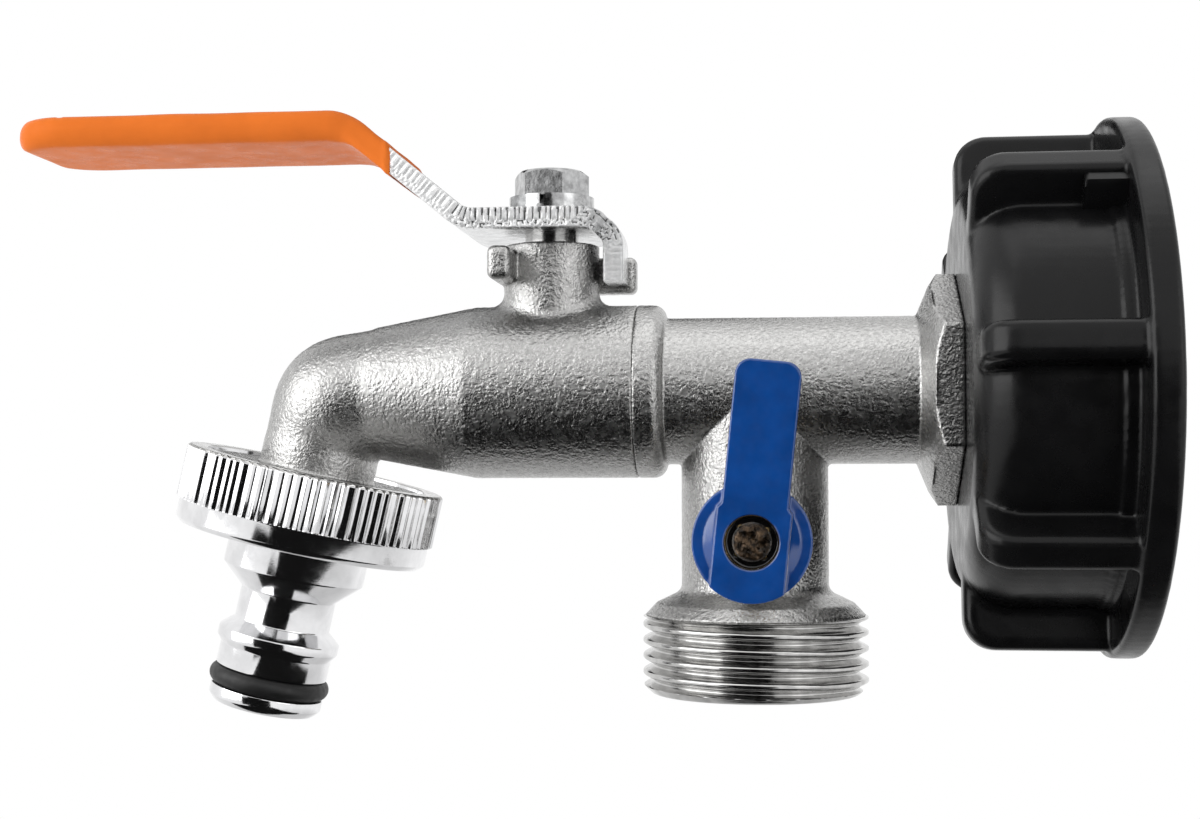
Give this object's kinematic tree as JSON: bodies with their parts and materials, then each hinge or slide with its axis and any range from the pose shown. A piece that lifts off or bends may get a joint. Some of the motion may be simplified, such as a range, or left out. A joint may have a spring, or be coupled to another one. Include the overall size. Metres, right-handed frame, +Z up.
{
  "type": "ibc tank valve",
  "caption": "Tap set for a bulk liquid tank: ribbed screw cap, tee with a small lever ball valve and threaded outlet, and a lever ball bibcock with a hose nipple.",
  "frame": {"origin": "centre of the screw cap's open mouth", "axes": "+X runs out of the cap's mouth towards the tank, +Z is up, on the side of the long lever, and the small lever faces -Y"},
  "size_m": [0.1673, 0.078, 0.0908],
  "materials": {
    "cap_plastic": "black moulded plastic",
    "black_rubber": "black rubber",
    "cast_brass": "brass casting, blasted and satin nickel plated",
    "turned_brass": "turned brass, polished and chrome plated",
    "inner_brass": "plain turned brass",
    "ball_chrome": "hard chrome on brass",
    "seat_plastic": "white slippery plastic",
    "plated_steel": "bright zinc plate on pressed steel",
    "orange_sleeve": "dipped soft vinyl, glossy",
    "blue_plastic": "moulded blue plastic, satin",
    "dark_steel": "dark greased steel"
  },
  "bodies": {
    "body": {"tank_cap": "cap_plastic", "cap_gasket": "black_rubber", "tee_body": "cast_brass", "side_seat_upper": "seat_plastic", "side_seat_lower": "seat_plastic", "side_seat_retainer": "inner_brass", "main_body": "cast_brass", "joint_seal": "seat_plastic", "main_seat_rear": "seat_plastic", "main_seat_front": "seat_plastic", "thrust_washer": "seat_plastic", "tap_connector": "turned_brass", "nipple_o_ring": "black_rubber", "nose_washer": "black_rubber"},
    "long_lever": {"main_lever": "plated_steel", "main_lever_sleeve": "orange_sleeve", "lever_washer": "plated_steel", "lever_lock_washer": "plated_steel", "lever_bolt": "plated_steel", "main_stem": "inner_brass", "main_stem_o_rings": "black_rubber", "main_ball": "ball_chrome"},
    "small_lever": {"side_lever": "blue_plastic", "side_lever_screw": "dark_steel", "side_stem": "inner_brass", "side_stem_o_ring": "black_rubber", "side_ball": "ball_chrome"}
  },
  "joints": [
    {"name": "long_lever_turn", "type": "hinge", "parent": "body", "child": "long_lever", "pos_m": [-0.0848, 0, 0.0222], "axis": [0, 0, 1], "range_deg": [-90, 0]},
    {"name": "small_lever_turn", "type": "hinge", "parent": "body", "child": "small_lever", "pos_m": [-0.0544, -0.0144, -0.0218], "axis": [0, 1, 0], "range_deg": [-6, 84]}
  ]
}
